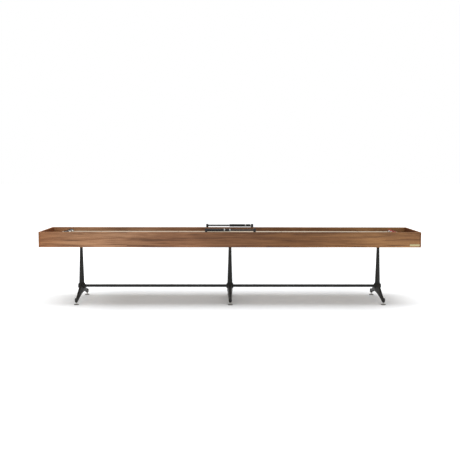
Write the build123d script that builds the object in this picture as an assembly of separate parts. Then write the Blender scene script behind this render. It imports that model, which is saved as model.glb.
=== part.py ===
"""A shuffleboard table: a long walnut tray on three cast pedestals.

Frame: +X along the table, +Y to the rear rail, +Z up. The origin is on the floor under
the table's middle. Millimetres.
"""

import os

from build123d import *

# Driving dimensions
LENGTH = 4267.0
DEPTH = 720.0
TOP = 821.0
CABINET_HEIGHT = 171.0
RAIL_THICK = 25.0
END_THICK = 20.0
EDGE_ROUND = 3.0

FLOOR_PANEL_THICK = 18.0
FLOOR_PANEL_RECESS = 14.0
CORNER_BLOCK = 40.0

PLAY_LENGTH = 3950.0
PLAY_WIDTH = 508.0
PLAY_DROP = 39.0
COAT_THICK = 3.0
CORE_THICK = 54.0
LINING_THICK = 3.0
SUPPORT_WIDTH = 60.0
SUPPORT_SHORT = 14.0
SUPPORTS_AT = [-1700.0, -850.0, 0.0, 850.0, 1700.0]
ADJUSTERS_AT = [-1275.0, -425.0, 425.0, 1275.0]
ADJUSTER_DROP = 18.0
ADJUSTER_ROD_RADIUS = 5.0
BRACKET_OUT = 205.0
BRACKET_WIDE = 40.0
BRACKET_TALL = 34.0
BRACKET_THICK = 5.0

PEDESTAL_PITCH = 1725.0
PEDESTALS = {"left": -PEDESTAL_PITCH, "middle": 0.0, "right": PEDESTAL_PITCH}
FOOT_OUT = 350.0
HUB_HEIGHT = 164.0
STEM_FOOT = 208.0
STEM_SECTIONS = [(STEM_FOOT, 58.0, 62.0), (430.0, 43.5, 50.0), (656.0, 30.5, 40.0)]
STEM_SIDE = 9.0
HUB_RADIUS = 38.0
HUB_BODY = 28.0
HUB_HALF = 41.0
HUB_NOSE = 21.0
LEG_SECTIONS = [
    (0.0, 64.0, 97.0, 199.0), (60.0, 58.0, 95.0, 186.0), (160.0, 49.0, 80.0, 144.0),
    (260.0, 40.0, 56.0, 100.0), (336.0, 34.0, 36.0, 71.0),
]
NUT_SEAT = 112.0
NUT_THICK = 10.0
STRETCHER_RADIUS = 16.0
STRETCHER_WALL = 2.5
SOCKET_DEPTH = 18.0
SOCKET_SCREW_AT = 34.0
SCREW_RADIUS = 3.0
RUNNING_GAP = 0.05

PLATE_LONG = 420.0
PLATE_WIDE = 140.0
PLATE_THICK = 8.0
LAG_RADIUS = 4.0
TIE_RADIUS = 6.0

PAD_RADIUS = 28.0
PAD_HEIGHT = 9.0
STUD_RADIUS = 6.0
STUD_TOP = 56.0
BOSS_FOOT = 26.0

SCORER_LENGTH = 566.0
POST_WIDTH = 26.0
POST_DEEP = 24.0
POST_HEIGHT = 39.0
SCORER_ROD_RADIUS = 9.5
SCORER_ROD_RISE = 22.0
ROD_SEAT = 12.0
BEAD_RADIUS = 15.5
BEAD_PITCH = 12.3
BEAD_GAP = 0.1
BEAD_GROUPS = [("1_to_15", 0, 15), ("16", 15, 16), ("17_to_20", 16, 20), ("21", 20, 21)]

PUCK_RADIUS = 29.35
PUCK_HEIGHT = 25.0
LANE_PITCH = 62.0
BLACK_PUCKS = [(-1878.0, 3.5), (-1878.0, 1.5), (-1890.0, -0.5), (-1865.0, -2.5)]
RED_PUCKS = [(1895.0, 2.5), (1890.0, 0.5), (1885.0, -1.5), (1880.0, -3.5)]

NAME_PLATE_LONG = 111.0
NAME_PLATE_TALL = 25.0
NAME_PLATE_THICK = 1.5
NAME_PLATE_SUNK = 1.0
NAME_PLATE_X = LENGTH / 2 - 70.5
NAME_PLATE_RISE = 26.0

# Worked out from the driving dimensions
BOTTOM = TOP - CABINET_HEIGHT
RAIL_END = LENGTH / 2 - END_THICK
RAIL_INNER = DEPTH / 2 - RAIL_THICK
RAIL_MIDDLE = DEPTH / 2 - RAIL_THICK / 2
PANEL_BOTTOM = BOTTOM + FLOOR_PANEL_RECESS
PANEL_TOP = PANEL_BOTTOM + FLOOR_PANEL_THICK
PLATE_BOTTOM = PANEL_BOTTOM - PLATE_THICK
PLAY_TOP = TOP - PLAY_DROP
CORE_TOP = PLAY_TOP - COAT_THICK
CORE_BOTTOM = CORE_TOP - CORE_THICK
ADJUSTER_Z = CORE_BOTTOM - ADJUSTER_DROP
SCORER_ROD_Z = TOP + SCORER_ROD_RISE
POST_INNER = SCORER_LENGTH / 2 - POST_WIDTH


def block(x, y, z):
    """A box between the given ends along each axis."""
    size = [b - a for a, b in (x, y, z)]
    middle = [(a + b) / 2 for a, b in (x, y, z)]
    return Pos(*middle) * Box(*size)


def upright(radius, z, x=0.0, y=0.0):
    """A round bar along Z between the two heights in z."""
    return Pos(x, y, sum(z) / 2) * Cylinder(radius, z[1] - z[0])


def lengthwise(radius, x, y, z):
    """A round bar along X between the two ends in x."""
    return Pos(sum(x) / 2, y, z) * Rot(0, 90, 0) * Cylinder(radius, x[1] - x[0])


def crosswise(radius, x, y, z):
    """A round bar along Y between the two ends in y."""
    return Pos(x, sum(y) / 2, z) * Rot(90, 0, 0) * Cylinder(radius, y[1] - y[0])


def hexagon(across_flats, z, x=0.0, y=0.0):
    """A hexagonal bar along Z between the two heights in z."""
    outline = RegularPolygon(across_flats / 2, 6, major_radius=False)
    return Pos(x, y, z[0]) * extrude(outline, amount=z[1] - z[0])


def faceted(wide, deep, z, x=0.0):
    """A closed eight-sided outline at height z, with narrow sides and long slanted corners."""
    w, d, side = wide / 2, deep / 2, STEM_SIDE / 2
    face = 0.46 * w
    corners = [
        (w, -side), (w, side), (face, d), (-face, d),
        (-w, side), (-w, -side), (-face, -d), (face, -d),
    ]
    return Wire.make_polygon([Vector(x + a, b, z) for a, b in corners], close=True)


def ridged(wide, low, high, y, x=0.0):
    """A closed outline across a leg at y: flat below, widest low down, narrower on top."""
    w = wide / 2
    shoulder = low + 0.15 * (high - low)
    corners = [
        (-0.88 * w, low), (0.88 * w, low), (w, shoulder),
        (0.44 * w, high), (-0.44 * w, high), (-w, shoulder),
    ]
    return Wire.make_polygon([Vector(x + a, y, b) for a, b in corners], close=True)


def turned(outline):
    """A solid turned about Z from (radius, height) points."""
    return revolve(Plane.XZ * make_face(Polyline(*outline, close=True)), axis=Axis.Z)


def write(name, shape):
    """Write one sub-part, a solid or a list of separate solids, to parts/."""
    pieces = shape if isinstance(shape, list) else [shape]
    solids = [solid for piece in pieces for solid in piece.solids()]
    export_step(solids[0] if len(solids) == 1 else Compound(children=solids), f"parts/{name}.step")
    print(name, len(solids))


# Cabinet: name plate, rails, end boards, floor panel and corner blocks


def name_plate(thick):
    """A blank brass plate let into the front of the cabinet at its right end."""
    x, z = NAME_PLATE_X, BOTTOM + NAME_PLATE_RISE
    long, tall = NAME_PLATE_LONG / 2, NAME_PLATE_TALL / 2
    back = -DEPTH / 2 + NAME_PLATE_SUNK
    return block((x - long, x + long), (back - thick, back), (z - tall, z + tall))


def rail(side):
    """A long board of solid walnut; side is -1 for the front and 1 for the rear."""
    y = sorted((side * RAIL_INNER, side * DEPTH / 2))
    board = block((-RAIL_END, RAIL_END), y, (BOTTOM, TOP))
    board = fillet(board.edges().filter_by(Axis.X).group_by(Axis.Z)[-1], EDGE_ROUND)
    for x in (-1, 1):
        middle = x * (POST_INNER + POST_WIDTH / 2)
        board -= upright(SCREW_RADIUS + RUNNING_GAP, (TOP - 40.0, TOP), middle, side * RAIL_MIDDLE)
    return board - name_plate(NAME_PLATE_SUNK) if side < 0 else board


def end_board(side):
    """A board across one end, which covers the ends of both rails."""
    x = sorted((side * RAIL_END, side * LENGTH / 2))
    board = block(x, (-DEPTH / 2, DEPTH / 2), (BOTTOM, TOP))
    board = fillet(board.edges().filter_by(Axis.Y).group_by(Axis.Z)[-1], EDGE_ROUND)
    return board - name_plate(NAME_PLATE_SUNK) if side > 0 else board


def lag_places(x):
    """Where the four lag screws of the pedestal at x stand."""
    return [(x + a * 50.0, b * 190.0) for a in (-1, 1) for b in (-1, 1)]


def cabinet_floor():
    """The panel between the rails, recessed above their lower edges."""
    panel = block((-RAIL_END, RAIL_END), (-RAIL_INNER, RAIL_INNER), (PANEL_BOTTOM, PANEL_TOP))
    for x in PEDESTALS.values():
        for a, b in lag_places(x):
            panel -= upright(LAG_RADIUS + RUNNING_GAP, (PANEL_BOTTOM, PANEL_TOP), a, b)
    return panel


def corner_blocks():
    """Glue blocks in the four inside corners, below the recessed panel."""
    x, y = RAIL_END - CORNER_BLOCK, RAIL_INNER - CORNER_BLOCK
    return [
        block(sorted((a * x, a * RAIL_END)), sorted((b * y, b * RAIL_INNER)), (BOTTOM, PANEL_BOTTOM))
        for a in (-1, 1) for b in (-1, 1)
    ]


# Playfield: core, coat, supports, lining and adjusters


def gutter_lining():
    """Carpet strips on the panel: one along each side and one across each end."""
    z = (PANEL_TOP, PANEL_TOP + LINING_THICK)
    x, y = PLAY_LENGTH / 2, PLAY_WIDTH / 2
    strips = []
    for s in (-1, 1):
        strips.append(block((-x, x), sorted((s * y, s * RAIL_INNER)), z))
        strips.append(block(sorted((s * x, s * RAIL_END)), (-RAIL_INNER, RAIL_INNER), z))
    return strips


def playfield_supports():
    """Battens across the cabinet that carry the playfield."""
    y = PLAY_WIDTH / 2 - SUPPORT_SHORT
    w = SUPPORT_WIDTH / 2
    return [block((x - w, x + w), (-y, y), (PANEL_TOP, CORE_BOTTOM)) for x in SUPPORTS_AT]


def adjuster_brackets():
    """Angle plates under the core, two at each adjuster, drilled for its rod."""
    found = []
    for x in ADJUSTERS_AT:
        for s in (-1, 1):
            across = (x - BRACKET_WIDE / 2, x + BRACKET_WIDE / 2)
            outer = s * (BRACKET_OUT + BRACKET_THICK)
            wall = sorted((s * BRACKET_OUT, outer))
            foot = sorted((s * (BRACKET_OUT - BRACKET_TALL), outer))
            plate = block(across, wall, (CORE_BOTTOM - BRACKET_TALL, CORE_BOTTOM))
            plate += block(across, foot, (CORE_BOTTOM - BRACKET_THICK, CORE_BOTTOM))
            hole = crosswise(ADJUSTER_ROD_RADIUS + 0.3, x, (-DEPTH / 2, DEPTH / 2), ADJUSTER_Z)
            found.append(plate - hole)
    return found


def adjuster_rods():
    """Threaded rods across the cabinet that pull or push the brackets, with end nuts."""
    found = []
    end = BRACKET_OUT + BRACKET_THICK
    for x in ADJUSTERS_AT:
        rod = crosswise(ADJUSTER_ROD_RADIUS, x, (-end - 14.0, end + 14.0), ADJUSTER_Z)
        for z in ((-end - 8.0, -end), (end, end + 8.0)):
            rod += Pos(x, 0, ADJUSTER_Z) * Rot(-90, 0, 0) * hexagon(17.0, z)
        found.append(rod)
    return found


# Pedestals: plates, screws, stems, leg castings, tie rods, stretchers and levellers


def top_plate(x):
    """The flat plate on a stem's top, screwed up into the floor panel."""
    plate = block(
        (x - PLATE_WIDE / 2, x + PLATE_WIDE / 2), (-PLATE_LONG / 2, PLATE_LONG / 2),
        (PLATE_BOTTOM, PANEL_BOTTOM),
    )
    plate = fillet(plate.edges().filter_by(Axis.Z), 12.0)
    plate -= upright(TIE_RADIUS + RUNNING_GAP, (PLATE_BOTTOM, PANEL_BOTTOM), x)
    for a, b in lag_places(x):
        plate -= upright(LAG_RADIUS + RUNNING_GAP, (PLATE_BOTTOM, PANEL_BOTTOM), a, b)
    return plate


def plate_screws():
    """Hexagon-head lag screws, four to each plate."""
    found = []
    for x in PEDESTALS.values():
        for a, b in lag_places(x):
            head = hexagon(12.0, (PLATE_BOTTOM - 5.5, PLATE_BOTTOM), a, b)
            found.append(head + upright(LAG_RADIUS, (PLATE_BOTTOM, PANEL_TOP - 1.0), a, b))
    return found


def stem(x):
    """The tapered eight-sided column, bored for its tie rod."""
    outlines = [faceted(w, d, z, x) for z, w, d in STEM_SECTIONS]
    column = Solid.make_loft(outlines, ruled=True)
    return column - upright(TIE_RADIUS + 1.0, (STEM_FOOT, PLATE_BOTTOM), x)


def leg_casting(x, sockets):
    """Hub and two splayed legs in one casting; sockets says which hub ends are bored."""
    drum = [
        (0.0, -HUB_HALF), (HUB_NOSE, -HUB_HALF), (HUB_RADIUS, -HUB_BODY),
        (HUB_RADIUS, HUB_BODY), (HUB_NOSE, HUB_HALF), (0.0, HUB_HALF),
    ]
    body = Pos(x, 0, HUB_HEIGHT) * Rot(0, 90, 0) * turned(drum)
    body += Solid.make_loft(
        [faceted(64.0, 70.0, HUB_HEIGHT, x), faceted(58.0, 62.0, STEM_FOOT, x)],
        ruled=True,
    )
    for s in (-1, 1):
        outlines = [ridged(w, low, high, s * y, x) for y, w, low, high in LEG_SECTIONS]
        body += Solid.make_loft(outlines, ruled=True)
        boss = [
            (0.0, BOSS_FOOT), (12.0, BOSS_FOOT), (18.0, BOSS_FOOT + 13.0), (18.0, 69.0),
            (13.0, 75.0), (0.0, 77.0),
        ]
        body += Pos(x, s * FOOT_OUT, 0) * turned(boss)
    for s in (-1, 1):
        body -= upright(STUD_RADIUS + RUNNING_GAP, (BOSS_FOOT - 1.0, 70.0), x, s * FOOT_OUT)
    body -= upright(TIE_RADIUS + 0.5, (90.0, STEM_FOOT), x)
    body -= upright(13.0, (90.0, NUT_SEAT), x)
    for s in sockets:
        inner, outer = x + s * (HUB_HALF - SOCKET_DEPTH), x + s * (HUB_HALF + 1.0)
        span = sorted((inner, outer))
        body -= lengthwise(STRETCHER_RADIUS + RUNNING_GAP, span, 0.0, HUB_HEIGHT)
        body -= upright(SCREW_RADIUS + RUNNING_GAP, (120.0, HUB_HEIGHT), x + s * SOCKET_SCREW_AT)
    return body


def tie_rods():
    """Threaded rods that clamp casting, stem and plate, each with a nut in the arch."""
    found = []
    for x in PEDESTALS.values():
        rod = upright(TIE_RADIUS, (NUT_SEAT - NUT_THICK - 2.0, PANEL_BOTTOM), x)
        found.append(rod + hexagon(19.0, (NUT_SEAT - NUT_THICK, NUT_SEAT), x))
    return found


def stretcher(x0, x1):
    """The tube between two hubs, seated in their sockets."""
    ends = (x0 + HUB_HALF - SOCKET_DEPTH, x1 - HUB_HALF + SOCKET_DEPTH)
    tube = lengthwise(STRETCHER_RADIUS, ends, 0.0, HUB_HEIGHT)
    return tube - lengthwise(STRETCHER_RADIUS - STRETCHER_WALL, ends, 0.0, HUB_HEIGHT)


def socket_screws():
    """Grub screws from below that lock each stretcher end."""
    tip = HUB_HEIGHT - STRETCHER_RADIUS
    inner, outer = SOCKET_SCREW_AT, PEDESTAL_PITCH - SOCKET_SCREW_AT
    return [upright(SCREW_RADIUS, (tip - 13.0, tip), x) for x in (-outer, -inner, inner, outer)]


def leveller(x, y):
    """A threaded stud on a round pad, with a hexagon to turn it by."""
    pad = [
        (0.0, 0.0), (PAD_RADIUS - 1.5, 0.0), (PAD_RADIUS, 1.5), (PAD_RADIUS, 5.0),
        (PAD_RADIUS - 2.0, 6.5), (12.0, PAD_HEIGHT), (0.0, PAD_HEIGHT),
    ]
    foot = Pos(x, y, 0) * turned(pad)
    stud = upright(STUD_RADIUS, (PAD_HEIGHT, STUD_TOP), x, y)
    return [foot, stud]


# Scorers: posts, rods, screws and beads


def scorer_posts(side):
    """Two round-topped blocks on a rail, drilled for the rod."""
    found = []
    y = side * RAIL_MIDDLE
    for s in (-1, 1):
        x = s * (POST_INNER + POST_WIDTH / 2)
        post = block(
            (x - POST_WIDTH / 2, x + POST_WIDTH / 2), (y - POST_DEEP / 2, y + POST_DEEP / 2),
            (TOP, TOP + POST_HEIGHT),
        )
        post = fillet(post.edges().filter_by(Axis.X).group_by(Axis.Z)[-1], 7.0)
        post = fillet(post.edges().filter_by(Axis.Z), 2.0)
        seat = sorted((s * POST_INNER, s * (POST_INNER + ROD_SEAT)))
        post -= lengthwise(SCORER_ROD_RADIUS + RUNNING_GAP, seat, y, SCORER_ROD_Z)
        post -= upright(SCREW_RADIUS + RUNNING_GAP, (TOP, TOP + 9.0), x, y)
        found.append(post)
    return found


def scorer_rod(side):
    """The bar that the beads slide on."""
    end = POST_INNER + ROD_SEAT
    return lengthwise(SCORER_ROD_RADIUS, (-end, end), side * RAIL_MIDDLE, SCORER_ROD_Z)


def scorer_screws():
    """Dowel screws that hold the posts down on the rails."""
    x = POST_INNER + POST_WIDTH / 2
    return [
        upright(SCREW_RADIUS, (TOP - 38.0, TOP + 8.5), a * x, b * RAIL_MIDDLE)
        for a in (-1, 1) for b in (-1, 1)
    ]


def bead(x, y):
    """A round-edged counting bead, loose on its rod."""
    half, r = (BEAD_PITCH - BEAD_GAP) / 2, BEAD_RADIUS
    bore = SCORER_ROD_RADIUS + 0.4
    outline = [
        (bore, -half), (r - 3.4, -half), (r - 1.0, -half + 1.4), (r, -half + 3.9),
        (r, half - 3.9), (r - 1.0, half - 1.4), (r - 3.4, half), (bore, half),
    ]
    return Pos(x, y, SCORER_ROD_Z) * Rot(0, 90, 0) * turned(outline)


def beads(side, first, last):
    """Beads first to last of one scorer: to the left in front, to the right behind."""
    count = BEAD_GROUPS[-1][2]
    start = -POST_INNER if side < 0 else POST_INNER - count * BEAD_PITCH
    return [bead(start + (n + 0.5) * BEAD_PITCH, side * RAIL_MIDDLE) for n in range(first, last)]


# Pucks: a steel weight with a plastic cap


def puck_weight(x, y):
    """The turned steel body, waisted at mid-height and hollowed on top."""
    r = PUCK_RADIUS
    outline = [
        (0.0, 0.6), (r - 6.0, 0.6), (r - 5.0, 0.0), (r - 1.5, 0.0), (r, 2.0), (r, 7.0),
        (r - 2.4, 9.5), (r - 2.4, 12.5), (r, 15.0), (r, 18.0), (r - 2.0, 19.5),
        (r - 5.0, 19.5), (r - 5.0, 16.0), (0.0, 16.0),
    ]
    return Pos(x, y, PLAY_TOP) * turned(outline)


def puck_cap(x, y):
    """The plastic cap seated in the weight's hollow, dished on top."""
    r = PUCK_RADIUS
    outline = [
        (0.0, 16.0), (r - 5.2, 16.0), (r - 5.2, 19.5), (r - 3.5, 19.5), (r - 3.5, 22.5),
        (r - 6.0, PUCK_HEIGHT), (r - 10.0, PUCK_HEIGHT), (r - 13.0, PUCK_HEIGHT - 1.8),
        (0.0, PUCK_HEIGHT - 2.2),
    ]
    return Pos(x, y, PLAY_TOP) * turned(outline)


os.makedirs("parts", exist_ok=True)

write("front_rail", rail(-1))
write("rear_rail", rail(1))
write("left_end_board", end_board(-1))
write("right_end_board", end_board(1))
write("cabinet_floor", cabinet_floor())
write("corner_blocks", corner_blocks())
write("name_plate", name_plate(NAME_PLATE_THICK))

play_x, play_y = (-PLAY_LENGTH / 2, PLAY_LENGTH / 2), (-PLAY_WIDTH / 2, PLAY_WIDTH / 2)
write("playfield_core", block(play_x, play_y, (CORE_BOTTOM, CORE_TOP)))
write("playfield_coat", block(play_x, play_y, (CORE_TOP, PLAY_TOP)))
write("playfield_supports", playfield_supports())
write("gutter_lining", gutter_lining())
write("adjuster_brackets", adjuster_brackets())
write("adjuster_rods", adjuster_rods())

write("top_plates", [top_plate(x) for x in PEDESTALS.values()])
write("plate_screws", plate_screws())
write("tie_rods", tie_rods())
write("left_stretcher", stretcher(-PEDESTAL_PITCH, 0.0))
write("right_stretcher", stretcher(0.0, PEDESTAL_PITCH))
write("socket_screws", socket_screws())
for place, at in PEDESTALS.items():
    bored = [s for s in (-1, 1) if abs(at + s) < PEDESTAL_PITCH]
    write(f"{place}_stem", stem(at))
    write(f"{place}_leg_casting", leg_casting(at, bored))
    write(f"{place}_front_leveller", leveller(at, -FOOT_OUT))
    write(f"{place}_rear_leveller", leveller(at, FOOT_OUT))

write("scorer_screws", scorer_screws())
for place, side in (("front", -1), ("rear", 1)):
    write(f"{place}_scorer_posts", scorer_posts(side))
    write(f"{place}_scorer_rod", scorer_rod(side))
    for span, first, last in BEAD_GROUPS:
        write(f"{place}_beads_{span}", beads(side, first, last))

for colour, places in (("black", BLACK_PUCKS), ("red", RED_PUCKS)):
    for n, (x, lane) in enumerate(places, 1):
        write(f"{colour}_puck_{n}_weight", puck_weight(x, lane * LANE_PITCH))
        write(f"{colour}_puck_{n}_cap", puck_cap(x, lane * LANE_PITCH))
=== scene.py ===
import math

import bmesh
import bpy
from mathutils import Matrix, Vector


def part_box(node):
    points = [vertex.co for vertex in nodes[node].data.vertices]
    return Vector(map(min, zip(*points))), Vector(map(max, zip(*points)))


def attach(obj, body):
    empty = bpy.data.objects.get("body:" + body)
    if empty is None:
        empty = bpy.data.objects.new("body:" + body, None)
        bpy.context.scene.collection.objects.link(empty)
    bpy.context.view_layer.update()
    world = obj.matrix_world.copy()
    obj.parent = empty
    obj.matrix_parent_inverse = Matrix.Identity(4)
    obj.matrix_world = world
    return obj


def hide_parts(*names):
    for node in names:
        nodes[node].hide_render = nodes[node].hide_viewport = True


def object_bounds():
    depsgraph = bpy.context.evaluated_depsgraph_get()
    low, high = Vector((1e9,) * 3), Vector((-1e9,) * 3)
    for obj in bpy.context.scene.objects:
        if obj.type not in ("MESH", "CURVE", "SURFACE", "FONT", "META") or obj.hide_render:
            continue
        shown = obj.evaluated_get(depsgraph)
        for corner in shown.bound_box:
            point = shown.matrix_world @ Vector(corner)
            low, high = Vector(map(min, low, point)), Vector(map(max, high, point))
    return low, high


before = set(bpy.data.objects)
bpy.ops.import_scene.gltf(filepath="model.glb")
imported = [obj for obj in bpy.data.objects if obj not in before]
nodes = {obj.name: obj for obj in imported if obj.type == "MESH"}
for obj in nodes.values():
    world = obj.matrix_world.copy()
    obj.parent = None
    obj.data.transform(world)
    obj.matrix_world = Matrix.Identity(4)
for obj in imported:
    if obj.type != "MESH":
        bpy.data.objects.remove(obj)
cad_box = [list(corner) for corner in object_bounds()]


# Rails and end boards
# Four solid walnut boards, each glued up from two widths, planed flat, eased along the rim and
# oiled to a satin sheen. The end boards cover the rails' ends, so their end grain faces the front.
# The end boards' faces in the tray are darkened with painted shade.


def add(tree, kind, inputs=None, **settings):
    """Adds a node to a tree. A value in inputs is set on its socket, and an output is linked to it."""
    made = tree.nodes.new(kind)
    for name, value in settings.items():
        setattr(made, name, value)
    for name, value in (inputs or {}).items():
        if isinstance(value, bpy.types.NodeSocket):
            tree.links.new(value, made.inputs[name])
        else:
            made.inputs[name].default_value = value
    return made


def mix(tree, how, amount, below, above):
    """One colour laid over another in the given way, as a socket."""
    made = add(tree, "ShaderNodeMix", data_type="RGBA", blend_type=how, clamp_result=True)
    for socket, value in zip((made.inputs[0], made.inputs[6], made.inputs[7]), (amount, below, above)):
        if isinstance(value, bpy.types.NodeSocket):
            tree.links.new(value, socket)
        else:
            socket.default_value = value
    return made.outputs[2]


def sums(tree, how, a, b):
    """The result of a Math node on two numbers or sockets."""
    return add(tree, "ShaderNodeMath", {0: a, 1: b}, operation=how).outputs[0]


def ramp(tree, value, stops, smooth=False):
    """Colours or greys by value, from (position, colour) stops."""
    made = add(tree, "ShaderNodeValToRGB", {"Fac": value})
    made.color_ramp.interpolation = "EASE" if smooth else "LINEAR"
    while len(made.color_ramp.elements) < len(stops):
        made.color_ramp.elements.new(0.5)
    for element, (position, colour) in zip(made.color_ramp.elements, stops):
        element.position = position
        element.color = (colour,) * 3 + (1.0,) if isinstance(colour, float) else (*colour, 1.0)
    return made.outputs["Color"]


def stretched(tree, place, scale, detail=3.0, roughness=0.5):
    """Noise with its own number of waves to the metre along each axis."""
    drawn = add(tree, "ShaderNodeMapping", {"Vector": place, "Scale": scale})
    noise = {"Vector": drawn.outputs[0], "Scale": 1.0, "Detail": detail, "Roughness": roughness}
    return add(tree, "ShaderNodeTexNoise", noise).outputs[0]


def relief(tree, height, strength, distance):
    """A bump from a height, for the Normal socket."""
    size = {"Height": height, "Strength": strength, "Distance": distance}
    return add(tree, "ShaderNodeBump", size).outputs["Normal"]


def blank(name):
    """A new material, its node tree, its shader and its Object coordinates."""
    material = bpy.data.materials.new(name)
    material.use_nodes = True
    tree = material.node_tree
    place = add(tree, "ShaderNodeTexCoord").outputs["Object"]
    return material, tree, tree.nodes["Principled BSDF"], place


def connect(tree, shader, **sockets):
    """Links outputs to the shader's sockets, named in the shader's own words with _ for a space."""
    for name, output in sockets.items():
        tree.links.new(output, shader.inputs[name.replace("_", " ")])


GLUE_LINE = 0.760
UPPER_SHIFT = (1.37, 0.05, 0.045)
UPPER_TONE = (0.98, 1.0, 1.02, 1.0)
# Painted shade on the end boards' faces in the tray: how far past the inner face it reaches, and its tone.
SHADED = 0.001
SHADED_TONE = (0.55, 0.42, 0.36, 1.0)
PORE_TONE = (0.30, 0.22, 0.18, 1.0)
RING_WIDTH = 0.0062
WALNUT = [
    (0.22, (0.085, 0.036, 0.016)), (0.40, (0.235, 0.110, 0.054)), (0.50, (0.350, 0.176, 0.091)),
    (0.62, (0.440, 0.232, 0.126)), (0.80, (0.550, 0.315, 0.185)),
]
# A tone along the table, from its left end to its right: darkest in the middle, paler towards both ends.
ALONG = [
    (0.0, (0.98, 0.86, 0.70)), (0.10, (1.06, 1.06, 1.03)), (0.20, (1.0, 1.01, 1.02)),
    (0.35, (0.69, 0.62, 0.56)), (0.50, (0.52, 0.45, 0.36)), (0.66, (0.49, 0.41, 0.27)),
    (0.80, (0.60, 0.53, 0.37)), (0.90, (0.83, 0.79, 0.58)), (1.0, (0.80, 0.74, 0.54)),
]


def walnut(board, turn, shift, tone):
    """Walnut for one board: turn lays its grain across the table, shift is its place in the log.

    A turned board is an end board, and its face in the tray is darkened further with painted shade.
    """
    material, tree, shader, place = blank(f"walnut_{board}")
    axes = add(tree, "ShaderNodeSeparateXYZ", {"Vector": place}).outputs
    upper = sums(tree, "GREATER_THAN", axes["Z"], GLUE_LINE)
    laid = {"Vector": place, "Rotation": (0, 0, turn), "Location": shift}
    log = add(tree, "ShaderNodeMapping", laid).outputs[0]
    step = add(tree, "ShaderNodeVectorMath", {0: UPPER_SHIFT, "Scale": upper}, operation="SCALE").outputs[0]
    wood = add(tree, "ShaderNodeVectorMath", {0: log, 1: step}, operation="ADD").outputs[0]

    trunk = add(tree, "ShaderNodeMapping", {"Vector": wood, "Scale": (0.11, 1.0, 1.0)}).outputs[0]
    rings = add(tree, "ShaderNodeTexWave", {
        "Vector": trunk, "Scale": math.tau / 20 / RING_WIDTH, "Distortion": 16.0, "Detail": 3.0,
        "Detail Scale": 0.10, "Detail Roughness": 0.45,
    }, wave_type="RINGS", rings_direction="X", wave_profile="SAW").outputs["Fac"]
    broad = stretched(tree, wood, (0.40, 8.0, 8.0), 2.0, 0.5)
    streaks = stretched(tree, wood, (1.7, 34.0, 34.0), 4.0, 0.6)
    lines = stretched(tree, wood, (4.5, 75.0, 75.0), 4.0, 0.6)
    fibres = stretched(tree, wood, (3.0, 190.0, 190.0), 5.0, 0.62)
    pores = stretched(tree, wood, (45.0, 1500.0, 1500.0), 1.0)
    open_pores = ramp(tree, pores, [(0.60, 0.0), (0.70, 1.0)])

    figure = 0.5
    for part, share in ((rings, 0.24), (broad, 0.34), (streaks, 0.62), (lines, 0.60), (fibres, 0.45)):
        figure = sums(tree, "ADD", figure, sums(tree, "MULTIPLY", sums(tree, "SUBTRACT", part, 0.5), share))
    colour = ramp(tree, figure, WALNUT)
    half = cad_box[1][0]
    span = {"Value": axes["X"], "From Min": -half, "From Max": half}
    share = add(tree, "ShaderNodeMapRange", span).outputs[0]
    colour = mix(tree, "MULTIPLY", 1.0, colour, ramp(tree, share, ALONG, smooth=True))
    colour = mix(tree, "MULTIPLY", 1.0, colour, (*tone, 1.0))
    colour = mix(tree, "MULTIPLY", sums(tree, "MULTIPLY", open_pores, 0.55), colour, PORE_TONE)
    colour = mix(tree, "MULTIPLY", upper, colour, UPPER_TONE)
    # Painted shade: an end board's face in the tray is darkened.
    if turn:
        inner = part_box("right_end_board")[0].x + SHADED
        inside = sums(tree, "LESS_THAN", sums(tree, "ABSOLUTE", axes["X"], 0.0), inner)
        colour = mix(tree, "MULTIPLY", inside, colour, SHADED_TONE)

    surface = sums(tree, "SUBTRACT", sums(tree, "MULTIPLY", fibres, 0.5), open_pores)
    connect(
        tree, shader, Base_Color=colour, Normal=relief(tree, surface, 0.35, 0.0003),
        Roughness=ramp(tree, fibres, [(0.3, 0.44), (0.7, 0.58)]),
    )
    shader.inputs["Specular IOR Level"].default_value = 0.28
    shader.inputs["Coat Weight"].default_value = 0.04
    shader.inputs["Coat Roughness"].default_value = 0.35
    return material


ACROSS = math.pi / 2
EVEN, DEEP = (1.0, 0.97, 0.91), (0.80, 0.69, 0.55)
for board, turn, shift, tone in (
    ("front_rail", 0.0, (0.6, 0.30, -0.66), EVEN),
    ("rear_rail", 0.0, (3.1, -0.42, -0.80), EVEN),
    ("left_end_board", ACROSS, (0.4, 2.19, -0.70), DEEP),
    ("right_end_board", ACROSS, (5.2, -2.03, -0.74), DEEP),
):
    nodes[board].data.materials[0] = walnut(board, turn, shift, tone)


# Floor panel, corner blocks and battens
# Birch plywood between the rails, let in above their lower edges, with a glue block in each corner
# below it and battens on top that carry the playfield. Left as sanded, under one coat of lacquer.


def birch(name, turn):
    """Rotary-cut birch veneer: pale, with wide lazy figure and small dark flecks."""
    material, tree, shader, place = blank(name)
    sheet = add(tree, "ShaderNodeMapping", {"Vector": place, "Rotation": (0, 0, turn)}).outputs[0]
    figure = stretched(tree, sheet, (0.9, 9.0, 9.0), 4.0, 0.6)
    contour = sums(tree, "PINGPONG", sums(tree, "MULTIPLY", figure, 9.0), 1.0)
    grain = stretched(tree, sheet, (6.0, 260.0, 260.0), 4.0, 0.6)
    flecks = ramp(tree, stretched(tree, sheet, (60.0, 420.0, 420.0), 1.0), [(0.68, 0.0), (0.76, 0.7)])
    base = ramp(tree, contour, [(0.0, (0.40, 0.285, 0.175)), (1.0, (0.52, 0.395, 0.265))])
    base = mix(tree, "MULTIPLY", 0.5, base, ramp(tree, grain, [(0.3, 0.72), (0.7, 1.0)]))
    base = mix(tree, "MULTIPLY", flecks, base, (0.45, 0.30, 0.20, 1.0))
    connect(
        tree, shader, Base_Color=base, Normal=relief(tree, grain, 0.25, 0.0002),
        Roughness=ramp(tree, grain, [(0.3, 0.50), (0.7, 0.66)]),
    )
    return material


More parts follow.
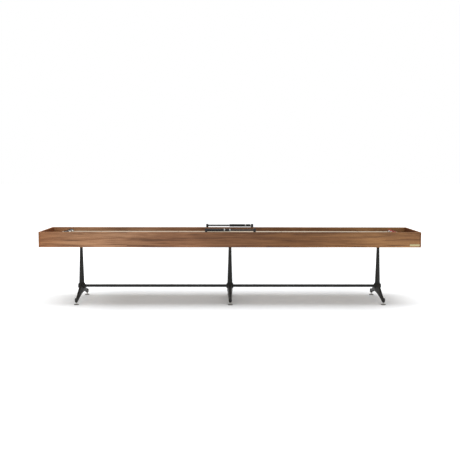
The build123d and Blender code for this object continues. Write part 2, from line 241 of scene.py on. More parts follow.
nodes["cabinet_floor"].data.materials[0] = birch("birch_panel", 0.0)
nodes["corner_blocks"].data.materials[0] = birch("birch_blocks", ACROSS)
nodes["playfield_supports"].data.materials[0] = birch("birch_battens", ACROSS)


# Gutter lining
# Charcoal needle-felt carpet, 3 mm thick, cut in four strips and glued down in the gutters, where
# it quiets the falling pucks. Its top is slightly uneven and its cut edges are rounded over.

FELT_STEP = 0.009
FELT_EDGE = 0.0012
FELT_WAVE = 0.00035


def felt():
    """Needle felt: tangled dark fibres with paler ones among them, and a soft sheen."""
    material, tree, shader, place = blank("gutter_felt")
    tangle = stretched(tree, place, (900.0, 900.0, 900.0), 4.0, 0.7)
    warp = stretched(tree, place, (160.0, 520.0, 400.0), 3.0, 0.65)
    patches = stretched(tree, place, (3.0, 9.0, 3.0), 3.0)
    fibre = sums(tree, "ADD", sums(tree, "MULTIPLY", tangle, 0.6), sums(tree, "MULTIPLY", warp, 0.4))
    colour = ramp(tree, fibre, [(0.36, (0.008, 0.0075, 0.007)), (0.52, (0.020, 0.019, 0.018)),
                                (0.66, (0.070, 0.066, 0.061))])
    colour = mix(tree, "MULTIPLY", 0.4, colour, ramp(tree, patches, [(0.35, 0.6), (0.65, 1.0)]))
    connect(tree, shader, Base_Color=colour, Normal=relief(tree, fibre, 0.9, 0.0012))
    shader.inputs["Roughness"].default_value = 0.95
    shader.inputs["Sheen Weight"].default_value = 0.25
    shader.inputs["Sheen Roughness"].default_value = 0.6
    return material


def piece(name, mesh, material, smooth=None):
    """An object at the origin with that mesh. Past smooth degrees, an edge stays sharp."""
    mesh.materials.clear()
    mesh.materials.append(material)
    if smooth is not None:
        mesh.shade_smooth()
        mesh.set_sharp_from_angle(angle=math.radians(smooth))
    made = bpy.data.objects.new(name, mesh)
    bpy.context.scene.collection.objects.link(made)
    return made


def from_bmesh(name, shape):
    """A mesh from a bmesh, with its doubles merged and its faces turned outwards."""
    bmesh.ops.remove_doubles(shape, verts=shape.verts, dist=1e-6)
    bmesh.ops.recalc_face_normals(shape, faces=shape.faces)
    mesh = bpy.data.meshes.new(name)
    shape.to_mesh(mesh)
    shape.free()
    return mesh


def felt_strip(name, x, y, z):
    """A strip of felt between the ends in x, y and z, with rounded edges and an uneven top."""
    shape = bmesh.new()
    bmesh.ops.create_cube(shape, size=1.0)
    for v in shape.verts:
        v.co = Vector([p[0] + (share + 0.5) * (p[1] - p[0]) for p, share in zip((x, y, z), v.co)])
    top_edges = [e for e in shape.edges if all(v.co.z > (z[0] + z[1]) / 2 for v in e.verts)]
    bmesh.ops.bevel(shape, geom=top_edges, offset=FELT_EDGE, segments=2, affect="EDGES", profile=0.5)
    for axis, pair in ((0, x), (1, y)):
        for n in range(1, round((pair[1] - pair[0]) / FELT_STEP)):
            point, normal = Vector((0, 0, 0)), Vector((0, 0, 0))
            point[axis] = pair[0] + n * FELT_STEP
            normal[axis] = 1.0
            bmesh.ops.bisect_plane(
                shape, geom=shape.verts[:] + shape.edges[:] + shape.faces[:], plane_co=point, plane_no=normal,
            )
    for v in shape.verts:
        if v.co.z > z[1] - FELT_EDGE / 2:
            along = math.sin(v.co.x * 61.0 + 3.0 * math.sin(v.co.y * 47.0))
            v.co.z -= FELT_WAVE * (1.0 + along * math.sin(v.co.y * 83.0 + v.co.x * 17.0))
    return piece(name, from_bmesh(name, shape), gutter_felt, 60)


gutter_felt = felt()
lining_low, lining_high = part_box("gutter_lining")
slab_low, slab_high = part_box("playfield_core")
thick = (lining_low.z, lining_high.z)
for name, x, y in (
    ("front_gutter_felt", (slab_low.x, slab_high.x), (lining_low.y, slab_low.y)),
    ("rear_gutter_felt", (slab_low.x, slab_high.x), (slab_high.y, lining_high.y)),
    ("left_gutter_felt", (lining_low.x, slab_low.x), (lining_low.y, lining_high.y)),
    ("right_gutter_felt", (slab_high.x, lining_high.x), (lining_low.y, lining_high.y)),
):
    strip = felt_strip(name, x, y, thick)
    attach(strip, "table")
    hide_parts("gutter_lining")


# Playfield
# A thick slab of hard maple staves glued side by side, end-jointed along their length, and flooded
# with a clear polymer coat. Thin scoring and foul lines lie under the coat.

STAVE = 0.0325
STAVE_LENGTH = 0.96
MAPLE = [(0.30, (0.405, 0.340, 0.262)), (0.50, (0.506, 0.446, 0.365)), (0.70, (0.561, 0.506, 0.423))]
LINES = (1.825, 1.52, 0.61)
LINE_HALF = 0.0025
LINE_DARK = (0.030, 0.024, 0.020, 1.0)
STAVE_TONES = [(0.0, (0.84, 0.80, 0.76)), (1.0, (1.0, 1.0, 1.0))]


def maple(name, lined):
    """Maple staves with a tone of their own each; lined draws the court's lines."""
    material, tree, shader, place = blank(name)
    axes = add(tree, "ShaderNodeSeparateXYZ", {"Vector": place}).outputs
    stave = sums(tree, "FLOOR", sums(tree, "DIVIDE", axes["Y"], STAVE), 0.0)
    slide = add(tree, "ShaderNodeTexWhiteNoise", {"W": stave}, noise_dimensions="1D").outputs["Value"]
    run = sums(tree, "ADD", sums(tree, "DIVIDE", axes["X"], STAVE_LENGTH), sums(tree, "MULTIPLY", slide, 7.0))
    length = sums(tree, "FLOOR", run, 0.0)
    number = add(tree, "ShaderNodeCombineXYZ", {"X": length, "Y": stave}).outputs[0]
    own = add(tree, "ShaderNodeTexWhiteNoise", {"Vector": number}, noise_dimensions="2D").outputs
    shifted = add(tree, "ShaderNodeVectorMath", {0: own["Color"], 1: (3.0, 3.0, 3.0), 2: place},
                  operation="MULTIPLY_ADD").outputs[0]
    figure = stretched(tree, shifted, (1.4, 26.0, 26.0), 4.0, 0.55)
    grain = stretched(tree, shifted, (5.0, 420.0, 420.0), 3.0, 0.6)
    colour = ramp(tree, figure, MAPLE)
    colour = mix(tree, "MULTIPLY", 0.35, colour, ramp(tree, grain, [(0.35, 0.80), (0.65, 1.0)]))
    colour = mix(tree, "MULTIPLY", 1.0, colour, ramp(tree, own["Value"], STAVE_TONES))
    edge = sums(tree, "PINGPONG", sums(tree, "DIVIDE", axes["Y"], STAVE), 0.5)
    seam = ramp(tree, edge, [(0.004, 0.62), (0.012, 1.0)])
    colour = mix(tree, "MULTIPLY", 1.0, colour, seam)
    if lined:
        from_middle = sums(tree, "ABSOLUTE", axes["X"], 0.0)
        for at in LINES:
            away = sums(tree, "ABSOLUTE", sums(tree, "SUBTRACT", from_middle, at), 0.0)
            line = sums(tree, "LESS_THAN", away, LINE_HALF)
            colour = mix(tree, "MIX", line, colour, LINE_DARK)
    connect(
        tree, shader, Base_Color=colour, Normal=relief(tree, grain, 0.10, 0.0001),
        Roughness=ramp(tree, grain, [(0.3, 0.36), (0.7, 0.46)] if lined else [(0.3, 0.5), (0.7, 0.62)]),
    )
    if lined:
        shader.inputs["Specular IOR Level"].default_value = 0.25
        shader.inputs["Coat Weight"].default_value = 0.10
        shader.inputs["Coat Roughness"].default_value = 0.16
    return material


nodes["playfield_core"].data.materials[0] = maple("maple_core", False)
nodes["playfield_coat"].data.materials[0] = maple("coated_maple", True)


# Climatic adjusters
# Zinc-plated angle brackets screwed under the slab, and threaded rods with end nuts that draw
# them together to bend it level.


def plated(name, tint, rough):
    """Zinc plating: grey steel with faint cloudy spangle and fine scratches."""
    material, tree, shader, place = blank(name)
    cloud = stretched(tree, place, (90.0, 90.0, 90.0), 4.0, 0.6)
    scratch = stretched(tree, place, (60.0, 1400.0, 900.0), 2.0)
    colour = mix(tree, "MULTIPLY", 1.0, ramp(tree, cloud, [(0.35, 0.74), (0.65, 1.0)]), (*tint, 1.0))
    connect(
        tree, shader, Base_Color=colour, Normal=relief(tree, scratch, 0.2, 0.0001),
        Roughness=ramp(tree, cloud, [(0.3, rough - 0.08), (0.7, rough + 0.08)]),
    )
    shader.inputs["Metallic"].default_value = 1.0
    return material


zinc = plated("zinc_plate", (0.62, 0.62, 0.60), 0.38)
for part in ("adjuster_brackets", "adjuster_rods", "scorer_screws"):
    nodes[part].data.materials[0] = zinc


# Top plates and their screws
# Black powder-coated steel plates on the stems' tops, each held up to the floor panel by four
# zinc-plated lag screws with flanged hexagon heads.


def powder_coat(name, colour, rough, texture):
    """Powder coat on iron: near black, satin, with the fine orange peel of the cured powder."""
    material, tree, shader, place = blank(name)
    peel = stretched(tree, place, (texture, texture, texture), 3.0, 0.55)
    dust = stretched(tree, place, (7.0, 7.0, 5.0), 3.0, 0.6)
    pale = tuple(1.5 * c + 0.003 for c in colour)
    tone = ramp(tree, dust, [(0.35, colour), (0.75, pale)])
    connect(
        tree, shader, Base_Color=tone, Normal=relief(tree, peel, 0.30, 0.0004),
        Roughness=ramp(tree, peel, [(0.3, rough - 0.05), (0.7, rough + 0.07)]),
    )
    shader.inputs["Specular IOR Level"].default_value = 0.20
    return material


nodes["top_plates"].data.materials[0] = powder_coat("black_plate", (0.012, 0.012, 0.011), 0.44, 700.0)

LAG_HEAD = 0.012
LAG_HEAD_THICK = 0.0045
LAG_FLANGE = 0.001
LAG_SHANK = 0.004
LAG_COLLAR = 0.68
LAG_ROWS = (0.100, 0.380)


def group(name, **sizes):
    """A Geometry Nodes tree with a named input for each size, and its input and output sockets."""
    tree = bpy.data.node_groups.new(name, "GeometryNodeTree")
    kinds = {float: "NodeSocketFloat", int: "NodeSocketInt", Vector: "NodeSocketVector"}
    for word, value in sizes.items():
        kind = kinds[type(value)]
        socket = tree.interface.new_socket(word.replace("_", " "), in_out="INPUT", socket_type=kind)
        socket.default_value = value
    tree.interface.new_socket("Mesh", in_out="OUTPUT", socket_type="NodeSocketGeometry")
    outputs = tree.nodes.new("NodeGroupInput").outputs
    result = tree.nodes.new("NodeGroupOutput").inputs
    return tree, {word: outputs[word.replace("_", " ")] for word in sizes}, result


def close(tree, geometry, material, result):
    """Ends a tree: its instances are made real, and the material is set."""
    real = add(tree, "GeometryNodeRealizeInstances", {0: geometry}).outputs[0]
    set_on = add(tree, "GeometryNodeSetMaterial", {"Geometry": real, "Material": material}).outputs[0]
    tree.links.new(set_on, result[0])


def joined(tree, *parts):
    """Several geometries as one."""
    made = add(tree, "GeometryNodeJoinGeometry")
    for part in parts:
        tree.links.new(part, made.inputs[0])
    return made.outputs[0]


def grown(name, tree, material, smooth, **sizes):
    """The plain mesh that a tree makes for those sizes, as an object at the origin."""
    seed = bpy.data.objects.new(f"{name}_seed", bpy.data.meshes.new(f"{name}_seed"))
    bpy.context.scene.collection.objects.link(seed)
    modifier = seed.modifiers.new("Grow", "NODES")
    modifier.node_group = tree
    sockets = {s.name: s.identifier for s in tree.interface.items_tree if s.in_out == "INPUT"}
    for word, value in sizes.items():
        modifier[sockets[word.replace("_", " ")]] = value
    ready = seed.evaluated_get(bpy.context.evaluated_depsgraph_get())
    mesh = bpy.data.meshes.new_from_object(ready)
    mesh.name = name
    seed.modifiers.remove(modifier)
    bpy.data.objects.remove(seed)
    return piece(name, mesh, material, smooth)


def solid_bar(tree, sides, radius, length, middle):
    """An upright closed bar with that many sides, its middle at that height."""
    bar = add(tree, "GeometryNodeMeshCylinder", {"Vertices": sides, "Radius": radius, "Depth": length},
              fill_type="NGON").outputs["Mesh"]
    lift = add(tree, "ShaderNodeCombineXYZ", {"Z": middle}).outputs[0]
    return add(tree, "GeometryNodeTransform", {"Geometry": bar, "Translation": lift}).outputs[0]


def lag_screw_tree():
    """Flanged hexagon-head screws at the corners of a rectangle, one rectangle to a pedestal."""
    tree, size, result = group(
        "lag_screws", Pedestals=3, Pitch=1.0, Row=0.1, Column=0.1, Seat=0.0, Across=0.01, Head=0.01,
        Flange=0.001, Shank=0.004, Reach=0.01,
    )
    below = sums(tree, "ADD", sums(tree, "MULTIPLY", size["Head"], 0.5), size["Flange"])
    head = solid_bar(tree, 6, sums(tree, "DIVIDE", size["Across"], math.sqrt(3.0)), size["Head"],
                     sums(tree, "MULTIPLY", below, -1.0))
    collar = solid_bar(tree, 20, sums(tree, "MULTIPLY", size["Across"], LAG_COLLAR), size["Flange"],
                       sums(tree, "MULTIPLY", size["Flange"], -0.5))
    shank = solid_bar(tree, 12, size["Shank"], size["Reach"], sums(tree, "MULTIPLY", size["Reach"], 0.5))
    corners = add(tree, "GeometryNodeMeshGrid", {
        "Size X": size["Row"], "Size Y": size["Column"], "Vertices X": 2, "Vertices Y": 2,
    }).outputs[0]
    first = sums(tree, "MULTIPLY", size["Pitch"], -1.0)
    start = add(tree, "ShaderNodeCombineXYZ", {"X": first, "Z": size["Seat"]})
    step = add(tree, "ShaderNodeCombineXYZ", {"X": size["Pitch"]})
    line = {"Count": size["Pedestals"], "Start Location": start.outputs[0], "Offset": step.outputs[0]}
    row = add(tree, "GeometryNodeMeshLine", line).outputs[0]
    places = add(tree, "GeometryNodeInstanceOnPoints", {"Points": row, "Instance": corners}).outputs[0]
    places = add(tree, "GeometryNodeRealizeInstances", {0: places}).outputs[0]
    screws = {"Points": places, "Instance": joined(tree, shank, collar, head)}
    close(tree, add(tree, "GeometryNodeInstanceOnPoints", screws).outputs[0], zinc, result)
    return tree


plate_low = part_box("top_plates")[0]
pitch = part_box("right_leg_casting")[0].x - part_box("middle_leg_casting")[0].x
lag_screws = grown(
    "lag_screws", lag_screw_tree(), zinc, 30, Pedestals=3, Pitch=pitch, Row=LAG_ROWS[0], Column=LAG_ROWS[1],
    Seat=plate_low.z, Across=LAG_HEAD, Head=LAG_HEAD_THICK, Flange=LAG_FLANGE, Shank=LAG_SHANK,
    Reach=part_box("plate_screws")[1].z - plate_low.z,
)
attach(lag_screws, "table")
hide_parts("plate_screws")


# Stems
# Tapered eight-sided columns of cast iron with narrow sides and long slanted corners, linished
# along the facets so that their edges are softened, and powder coated black.

STEM_RINGS = ((0.0, 0.058, 0.062), (0.4955, 0.0435, 0.050), (1.0, 0.0305, 0.040))
STEM_SIDE = 0.009
STEM_FACE = 0.46
STEM_SOFT = 0.0016
UPRIGHT = 0.1

cast_black = powder_coat("black_casting", (0.0200, 0.0198, 0.0185), 0.52, 420.0)


def column(name, x, low, high):
    """One eight-sided column between two heights, with softened edges."""
    shape = bmesh.new()
    rings = []
    for share, wide, deep in STEM_RINGS:
        w, d, side, face = wide / 2, deep / 2, STEM_SIDE / 2, STEM_FACE * wide / 2
        z = low + share * (high - low)
        outline = (
            (w, -side), (w, side), (face, d), (-face, d),
            (-w, side), (-w, -side), (-face, -d), (face, -d),
        )
        rings.append([shape.verts.new((x + a, b, z)) for a, b in outline])
    for below, above in zip(rings, rings[1:]):
        for n in range(8):
            m = (n + 1) % 8
            shape.faces.new((below[n], below[m], above[m], above[n]))
    shape.faces.new(rings[0][::-1])
    shape.faces.new(rings[-1])
    upright = [e for e in shape.edges if abs(e.verts[0].co.z - e.verts[1].co.z) > UPRIGHT]
    bmesh.ops.bevel(shape, geom=upright, offset=STEM_SOFT, segments=3, affect="EDGES", profile=0.5)
    return piece(name, from_bmesh(name, shape), cast_black, 22)


for place in ("left", "middle", "right"):
    low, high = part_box(f"{place}_stem")
    stem = column(f"{place}_column", (low.x + high.x) / 2, low.z, high.z)
    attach(stem, "table")
    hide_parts(f"{place}_stem")


# Leg castings
# One sand casting to a pedestal: a hub, two splayed legs and a boss on each leg's end. Its edges and
# corners are rounded as the pattern was, and the powder coat lies over the sand's faint grain.

CAST_GRAIN = 0.0019
CAST_ROUNDS = 5


def casting(name, node):
    """The casting's shape with rounded edges and filleted corners."""
    mesh = nodes[node].data.copy()
    shape = bmesh.new()
    shape.from_mesh(mesh)
    bmesh.ops.remove_doubles(shape, verts=shape.verts, dist=1e-5)
    shape.to_mesh(mesh)
    shape.free()
    rough = bpy.data.objects.new(f"{name}_rough", mesh)
    bpy.context.scene.collection.objects.link(rough)
    remesh = rough.modifiers.new("Grain", "REMESH")
    remesh.mode = "VOXEL"
    remesh.voxel_size = CAST_GRAIN
    soften = rough.modifiers.new("Rounds", "SMOOTH")
    soften.factor = 0.5
    soften.iterations = CAST_ROUNDS
    ready = rough.evaluated_get(bpy.context.evaluated_depsgraph_get())
    cast = bpy.data.meshes.new_from_object(ready)
    cast.name = name
    bpy.data.objects.remove(rough)
    return piece(name, cast, cast_black, 180)


for place in ("left", "middle", "right"):
    legs = casting(f"{place}_legs", f"{place}_leg_casting")
    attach(legs, "table")
    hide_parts(f"{place}_leg_casting")


# Tie rods, stretchers and grub screws
# A threaded rod and nut clamp each casting, stem and plate together. Steel tubes sit in the hubs'
# sockets, held by grub screws from below, and are powder coated like the castings.

nodes["tie_rods"].data.materials[0] = zinc
nodes["socket_screws"].data.materials[0] = plated("grub_screw", (0.20, 0.20, 0.19), 0.42)
tube_black = powder_coat("black_tube", (0.0180, 0.0178, 0.0168), 0.46, 650.0)
for place in ("left", "right"):
    nodes[f"{place}_stretcher"].data.materials[0] = tube_black


# Levellers
# A zinc-plated threaded stud pressed into a round dark pad with a softened rim. The stud screws up
# into the boss of a leg.

PAD_OUTLINE = (
    (0.0, 0.0), (0.0265, 0.0), (0.0280, 0.0015), (0.0280, 0.0050), (0.0260, 0.0068), (0.0150, 0.0082),
    (0.0120, 0.0090), (0.0, 0.0090),
)
PAD_ROUND = 0.0012
THREAD_PITCH = 0.00175
THREAD_DEPTH = 0.0009
STUD_RADIUS = 0.0053
STUD_SINK = 0.0005
RIDGE = 0.75


def softened(outline, radius, steps=3):
    """An outline of (radius, height) points with its corners off the axis rounded by an arc's points."""
    points = [Vector(p) for p in outline]
    result = [points[0]]
    for before, corner, after in zip(points, points[1:], points[2:]):
        back, on = before - corner, after - corner
        reach = min(radius, 0.45 * back.length, 0.45 * on.length)
        start, end = corner + back.normalized() * reach, corner + on.normalized() * reach
        for n in range(steps + 1):
            t = n / steps
            result.append((1 - t) ** 2 * start + 2 * t * (1 - t) * corner + t ** 2 * end)
    return result + [points[-1]]


def lathed(name, outline, place, material, sides=72):
    """A closed turned piece, standing at place. Its map runs round it and along its outline."""
    shape = bmesh.new()
    layer = shape.loops.layers.uv.new("turned")
    run = [0.0]
    for before, point in zip(outline, outline[1:]):
        run.append(run[-1] + (point - before).length)
    rings = []
    for r, z in outline:
        if r < 1e-6:
            rings.append([shape.verts.new((place[0], place[1], place[2] + z))])
            continue
        turns = [math.tau * n / sides for n in range(sides)]
        spots = [(place[0] + r * math.cos(a), place[1] + r * math.sin(a), place[2] + z) for a in turns]
        rings.append([shape.verts.new(spot) for spot in spots])
    for k in range(len(rings) - 1):
        low, high = rings[k], rings[k + 1]
        for n in range(sides):
            m = (n + 1) % sides
            corners = [(low[n % len(low)], n, k), (low[m % len(low)], n + 1, k),
                       (high[m % len(high)], n + 1, k + 1), (high[n % len(high)], n, k + 1)]
            if len(low) == 1:
                corners.pop(1)
            if len(high) == 1:
                corners.pop()
            face = shape.faces.new([corner[0] for corner in corners])
            for loop, (_, turn, level) in zip(face.loops, corners):
                loop[layer].uv = (turn / sides, run[level])
    return piece(name, from_bmesh(name, shape), material, 35)


def stud_tree():
    """A threaded stud: a core bar with a ridge wound round it."""
    tree, size, result = group(
        "stud", Place=Vector((0, 0, 0)), Radius=0.006, Length=0.05, Pitch=0.002, Depth=0.001,
    )
    core = solid_bar(tree, 28, sums(tree, "SUBTRACT", size["Radius"], size["Depth"]), size["Length"],
                     sums(tree, "MULTIPLY", size["Length"], 0.5))
    usable = sums(tree, "SUBTRACT", size["Length"], size["Pitch"])
    ridge_at = sums(tree, "SUBTRACT", size["Radius"], sums(tree, "MULTIPLY", size["Depth"], RIDGE))
    spiral = add(tree, "GeometryNodeCurveSpiral", {
        "Resolution": 24, "Rotations": sums(tree, "DIVIDE", usable, size["Pitch"]), "Start Radius": ridge_at,
        "End Radius": ridge_at, "Height": usable,
    }).outputs[0]
    crest = add(tree, "GeometryNodeCurvePrimitiveCircle", {
        "Resolution": 4, "Radius": sums(tree, "MULTIPLY", size["Depth"], RIDGE),
    }, mode="RADIUS").outputs[0]
    wound = {"Curve": spiral, "Profile Curve": crest, "Fill Caps": True}
    thread = add(tree, "GeometryNodeCurveToMesh", wound).outputs[0]
    lift = add(tree, "ShaderNodeCombineXYZ", {"Z": sums(tree, "MULTIPLY", size["Pitch"], 0.5)}).outputs[0]
    thread = add(tree, "GeometryNodeTransform", {"Geometry": thread, "Translation": lift}).outputs[0]
    moved = {"Geometry": joined(tree, core, thread), "Translation": size["Place"]}
    close(tree, add(tree, "GeometryNodeTransform", moved).outputs[0], zinc, result)
    return tree


pad_grey = plated("pad_grey", (0.34, 0.33, 0.31), 0.42)
stud_zinc = plated("stud_zinc", (0.74, 0.73, 0.70), 0.30)
threaded = stud_tree()
for place in ("left", "middle", "right"):
    for side in ("front", "rear"):
        node = f"{place}_{side}_leveller"
        low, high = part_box(node)
        middle = ((low.x + high.x) / 2, (low.y + high.y) / 2, low.z)
        pad = lathed(f"{place}_{side}_pad", softened(PAD_OUTLINE, PAD_ROUND), middle, pad_grey)
        base = low.z + PAD_OUTLINE[-1][1] - STUD_SINK
        stud = grown(
            f"{place}_{side}_stud", threaded, stud_zinc, 40, Place=(middle[0], middle[1], base),
            Radius=STUD_RADIUS, Length=high.z - base, Pitch=THREAD_PITCH, Depth=THREAD_DEPTH,
        )
        for part in (pad, stud):
            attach(part, node)
            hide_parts(node)


# Scorers
# Two black moulded posts on each rail carry a dark steel rod with twenty-one turned beads: black,
# with the sixteenth and the twenty-first in satin aluminium to mark the game.

BEAD_ROUND = 0.0034
BEAD_PLAY = 0.0003


def moulded(name, colour, rough, grain_scale):
    """Moulded plastic with a faint even grain and a few fine rubs."""
    material, tree, shader, place = blank(name)
    grain = stretched(tree, place, (grain_scale, grain_scale, grain_scale), 2.0, 0.5)
    rubs = stretched(tree, place, (40.0, 900.0, 900.0), 2.0, 0.6)
    pale = tuple(1.5 * c + 0.006 for c in colour)
    connect(
        tree, shader, Base_Color=ramp(tree, rubs, [(0.45, colour), (0.75, pale)]),
        Normal=relief(tree, grain, 0.12, 0.0002),
        Roughness=ramp(tree, rubs, [(0.35, rough), (0.70, rough + 0.14)]),
    )
    shader.inputs["Specular IOR Level"].default_value = 0.28
    return material


def aluminium(name):
    """Turned aluminium with fine rings about the rod."""
    material, tree, shader, place = blank(name)
    rings = stretched(tree, place, (2600.0, 3.0, 3.0), 3.0, 0.7)
    colour = ramp(tree, rings, [(0.3, (0.28, 0.28, 0.275)), (0.7, (0.40, 0.40, 0.39))])
    connect(
        tree, shader, Base_Color=colour, Normal=relief(tree, rings, 0.25, 0.0001),
        Roughness=ramp(tree, rings, [(0.3, 0.24), (0.7, 0.36)]),
    )
    shader.inputs["Metallic"].default_value = 1.0
    return material


def bead_tree():
    """A run of beads along X, each a ring with rounded edges."""
    tree, size, result = group(
        "beads", Beads=1, Start=Vector((0, 0, 0)), Pitch=0.0123, Length=0.0122, Bore=0.0098, Radius=0.0155,
        Round=0.003,
    )
    wall = sums(tree, "SUBTRACT", size["Radius"], size["Bore"])
    section = {"Width": wall, "Height": size["Length"]}
    outline = add(tree, "GeometryNodeCurvePrimitiveQuadrilateral", section).outputs[0]
    outline = add(tree, "GeometryNodeFilletCurve", {
        "Curve": outline, "Radius": size["Round"], "Limit Radius": True, "Count": 4,
    }, mode="POLY").outputs[0]
    middle = sums(tree, "MULTIPLY", sums(tree, "ADD", size["Radius"], size["Bore"]), 0.5)
    path = add(tree, "GeometryNodeCurvePrimitiveCircle", {
        "Resolution": 32, "Radius": middle,
    }, mode="RADIUS").outputs[0]
    ring = add(tree, "GeometryNodeCurveToMesh", {"Curve": path, "Profile Curve": outline}).outputs[0]
    threaded_on = {"Geometry": ring, "Rotation": (0.0, math.pi / 2, 0.0)}
    ring = add(tree, "GeometryNodeTransform", threaded_on).outputs[0]
    step = add(tree, "ShaderNodeCombineXYZ", {"X": size["Pitch"]}).outputs[0]
    row = add(tree, "GeometryNodeMeshLine", {
        "Count": size["Beads"], "Start Location": size["Start"], "Offset": step,
    }).outputs[0]
    strung = add(tree, "GeometryNodeInstanceOnPoints", {"Points": row, "Instance": ring}).outputs[0]
    close(tree, strung, zinc, result)
    return tree


post_black = moulded("post_black", (0.012, 0.012, 0.012), 0.38, 900.0)
rod_dark = plated("rod_dark", (0.042, 0.040, 0.038), 0.34)
bead_black = moulded("bead_black", (0.006, 0.006, 0.006), 0.20, 1500.0)
bead_silver = aluminium("bead_silver")
beads = bead_tree()
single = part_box("front_beads_16")[1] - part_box("front_beads_16")[0]
bead_pitch = (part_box("front_beads_17_to_20")[1].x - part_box("front_beads_17_to_20")[0].x - single.x) / 3
for side in ("front", "rear"):
    nodes[f"{side}_scorer_posts"].data.materials[0] = post_black
    nodes[f"{side}_scorer_rod"].data.materials[0] = rod_dark
    rod_low, rod_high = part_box(f"{side}_scorer_rod")
    for span, count in (("1_to_15", 15), ("16", 1), ("17_to_20", 4), ("21", 1)):
        node = f"{side}_beads_{span}"
        low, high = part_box(node)
        start = (low.x + single.x / 2, (low.y + high.y) / 2, (low.z + high.z) / 2)
        run = grown(
            f"{side}_run_{span}", beads, bead_silver if count == 1 else bead_black, 50, Beads=count,
            Start=start, Pitch=bead_pitch, Length=single.x, Bore=(rod_high.z - rod_low.z) / 2 + BEAD_PLAY,
            Radius=single.z / 2, Round=BEAD_ROUND,
        )
        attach(run, node)
        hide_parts(node)


# Pucks
# A turned and polished steel weight with a waist to grip it by, and a plastic cap pressed into its
# top: four black and four red.

WEIGHT_OUTLINE = (
    (0.0, 0.0006), (0.02335, 0.0006), (0.02435, 0.0), (0.02785, 0.0), (0.02935, 0.0020), (0.02935, 0.0070),
    (0.02695, 0.0095), (0.02695, 0.0125), (0.02935, 0.0150), (0.02935, 0.0180), (0.02735, 0.0195),
    (0.02435, 0.0195), (0.02435, 0.0160), (0.0, 0.0160),
)
CAP_OUTLINE = (
    (0.0, 0.0160), (0.02415, 0.0160), (0.02415, 0.0195), (0.02585, 0.0195), (0.02585, 0.0225),
    (0.02335, 0.0250), (0.01935, 0.0250), (0.01635, 0.0232), (0.0, 0.0228),
)
WEIGHT_ROUND = 0.0008
CAP_ROUND = 0.0011


def turned_steel():
    """Polished steel with the lathe's fine rings and a few handling marks."""
    material, tree, shader, place = blank("turned_steel")
    round_it = add(tree, "ShaderNodeUVMap", uv_map="turned").outputs[0]
    rings = stretched(tree, round_it, (0.0, 2600.0, 0.0), 3.0, 0.7)
    marks = stretched(tree, place, (160.0, 160.0, 220.0), 3.0, 0.65)
    colour = ramp(tree, rings, [(0.3, (0.34, 0.335, 0.32)), (0.7, (0.50, 0.49, 0.475))])
    connect(
        tree, shader, Base_Color=colour, Normal=relief(tree, rings, 0.3, 0.0001),
        Roughness=ramp(tree, marks, [(0.35, 0.14), (0.70, 0.30)]),
    )
    shader.inputs["Metallic"].default_value = 1.0
    return material


steel = turned_steel()
caps = {
    "black": moulded("cap_black", (0.010, 0.010, 0.011), 0.14, 1300.0),
    "red": moulded("cap_red", (0.235, 0.022, 0.016), 0.15, 1300.0),
}
for colour, cap in caps.items():
    for n in range(1, 5):
        puck = f"{colour}_puck_{n}"
        low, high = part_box(f"{puck}_weight")
        middle = ((low.x + high.x) / 2, (low.y + high.y) / 2, low.z)
        for part, outline, radius, material, slot in (
            ("weight", WEIGHT_OUTLINE, WEIGHT_ROUND, steel, "puck_steel"),
            ("cap", CAP_OUTLINE, CAP_ROUND, cap, f"cap_{colour}"),
        ):
            made = lathed(f"{puck}_{part}_turned", softened(outline, radius), middle, material)
            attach(made, puck)
            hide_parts(f"{puck}_{part}")


# Name plate
# A thin plate of pale brass let into the front board at its right end, with broken edges and a
# lengthwise brushed face. It carries no lettering.

PLATE_EDGE = 0.0005


def brushed_brass():
    """Pale brass brushed along its length, a little dulled in patches."""
    material, tree, shader, place = blank("brushed_brass")
    brush = stretched(tree, place, (30.0, 30.0, 2600.0), 3.0, 0.65)
    dull = stretched(tree, place, (40.0, 40.0, 70.0), 3.0)
    colour = ramp(tree, brush, [(0.3, (0.42, 0.35, 0.19)), (0.7, (0.56, 0.475, 0.28))])
    patches = ramp(tree, dull, [(0.35, (0.72, 0.66, 0.58)), (0.65, (1.0, 1.0, 1.0))])
    colour = mix(tree, "MULTIPLY", 0.35, colour, patches)
    connect(
        tree, shader, Base_Color=colour, Normal=relief(tree, brush, 0.25, 0.0001),
        Roughness=ramp(tree, brush, [(0.3, 0.34), (0.7, 0.48)]),
    )
    shader.inputs["Metallic"].default_value = 1.0
    return material


low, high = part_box("name_plate")
plate_shape = bmesh.new()
bmesh.ops.create_cube(plate_shape, size=1.0)
for v in plate_shape.verts:
    v.co = Vector([low[n] + (v.co[n] + 0.5) * (high[n] - low[n]) for n in range(3)])
outer = [e for e in plate_shape.edges if all(v.co.y < (low.y + high.y) / 2 for v in e.verts)]
bmesh.ops.bevel(plate_shape, geom=outer, offset=PLATE_EDGE, segments=2, affect="EDGES", profile=0.5)
blank_plate = piece("blank_plate", from_bmesh("blank_plate", plate_shape), brushed_brass(), 40)
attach(blank_plate, "table")
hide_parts("name_plate")
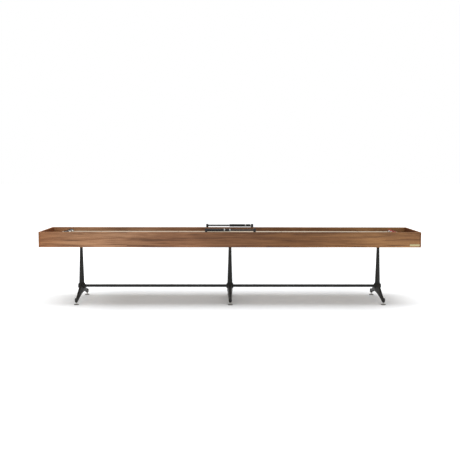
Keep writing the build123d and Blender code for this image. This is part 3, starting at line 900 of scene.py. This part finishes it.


# Floor, light and camera
# A white studio: a wide softbox hangs over the table, and the walls' light falls off to both sides.
# The floor glows with painted light that grows away from the table: it lightens the table's shadow
# towards its ends and sides, and keeps the far floor white.

FLOOR_WHITE = (0.835, 0.855, 0.875, 1.0)
# Painted light on the floor: where its glow begins, where it is full and how strong it gets, along the table,
# across it near the table and across it far off. The glow along the table is centred off the middle.
GLOW_ENDS = (1.25, 2.20, 0.32)
GLOW_SIDES = (0.50, 1.30, 0.12)
GLOW_FAR = (1.00, 4.00, 0.30)
GLOW_SHIFT = 0.10
WHITE = (1.0, 1.0, 1.0, 1.0)
FLOOR_RADIUS = 60.0
MIRRORED = [(0.08, 0.03), (0.50, 0.10), (0.95, 0.90), (1.0, 1.0)]
WALLS = [(0.30, 0.98), (0.90, 0.30)]
SOFTBOX_LONG, SOFTBOX_WIDE, SOFTBOX_HEIGHT, SOFTBOX_WATTS = 6.0, 1.2, 2.9, 90.0
CAMERA_LENS, CAMERA_SENSOR = 60.08, 36.0
CAMERA_PLACE = (-0.100, -8.880, 1.542)
CAMERA_YAW, CAMERA_PITCH, CAMERA_ROLL = -0.644, 4.679, 0.116

floor_mesh = bpy.data.meshes.new("studio_floor")
floor_shape = bmesh.new()
bmesh.ops.create_circle(floor_shape, cap_ends=True, segments=96, radius=FLOOR_RADIUS)
floor_shape.to_mesh(floor_mesh)
floor_shape.free()
floor_material, floor_tree, floor_shader, floor_place = blank("studio_floor")
floor_axes = add(floor_tree, "ShaderNodeSeparateXYZ", {"Vector": floor_place}).outputs
# The floor's painted glow: none under the table, growing towards its ends and sides and far off.
glow = 0.0
for axis, centre, (start, end, most) in (
    ("X", GLOW_SHIFT, GLOW_ENDS), ("Y", 0.0, GLOW_SIDES), ("Y", 0.0, GLOW_FAR),
):
    away = sums(floor_tree, "SUBTRACT", floor_axes[axis], centre)
    reached = add(floor_tree, "ShaderNodeMapRange", {
        "Value": sums(floor_tree, "ABSOLUTE", away, 0.0), "From Min": start, "From Max": end,
        "To Max": most,
    }, interpolation_type="SMOOTHSTEP").outputs[0]
    glow = sums(floor_tree, "ADD", glow, reached)
connect(floor_tree, floor_shader, Emission_Strength=glow)
floor_shader.inputs["Emission Color"].default_value = WHITE
floor_shader.inputs["Base Color"].default_value = FLOOR_WHITE
floor_shader.inputs["Roughness"].default_value = 0.9
floor_shader.inputs["Specular IOR Level"].default_value = 0.1
floor = piece("studio_floor", floor_mesh, floor_material)

world = bpy.data.worlds.new("studio")
bpy.context.scene.world = world
world.use_nodes = True
sky = world.node_tree
way = add(sky, "ShaderNodeSeparateXYZ", {0: add(sky, "ShaderNodeTexCoord").outputs["Generated"]}).outputs
facing = sums(sky, "ADD", sums(sky, "MULTIPLY", way["Y"], -0.55), sums(sky, "MULTIPLY", way["Z"], 0.85))
mirrored = ramp(sky, sums(sky, "ADD", facing, 0.5), MIRRORED)
rays = add(sky, "ShaderNodeLightPath").outputs
aside = sums(sky, "ABSOLUTE", way["X"], 0.0)
walls = ramp(sky, aside, WALLS)
light = mix(sky, "MIX", rays["Is Glossy Ray"], walls, mirrored)
light = mix(sky, "MIX", rays["Is Camera Ray"], light, WHITE)
sky.links.new(light, sky.nodes["Background"].inputs["Color"])
sky.nodes["Background"].inputs["Strength"].default_value = 1.0

softbox = bpy.data.lights.new("softbox", "AREA")
softbox.shape = "RECTANGLE"
softbox.size = SOFTBOX_LONG
softbox.size_y = SOFTBOX_WIDE
softbox.energy = SOFTBOX_WATTS
softbox_place = bpy.data.objects.new("softbox", softbox)
softbox_place.location = (0.0, 0.0, SOFTBOX_HEIGHT)
bpy.context.scene.collection.objects.link(softbox_place)

lens = bpy.data.cameras.new("camera")
lens.lens = CAMERA_LENS
lens.sensor_width = CAMERA_SENSOR
camera = bpy.data.objects.new("camera", lens)
yaw = Matrix.Rotation(math.radians(CAMERA_YAW), 3, "Z")
pitch_down = Matrix.Rotation(math.radians(90.0 - CAMERA_PITCH), 3, "X")
roll = Matrix.Rotation(math.radians(CAMERA_ROLL), 3, "Z")
camera.rotation_euler = (yaw @ pitch_down @ roll).to_euler()
camera.location = CAMERA_PLACE
bpy.context.scene.collection.objects.link(camera)
bpy.context.scene.camera = camera
bpy.context.scene.view_settings.view_transform = "Standard"
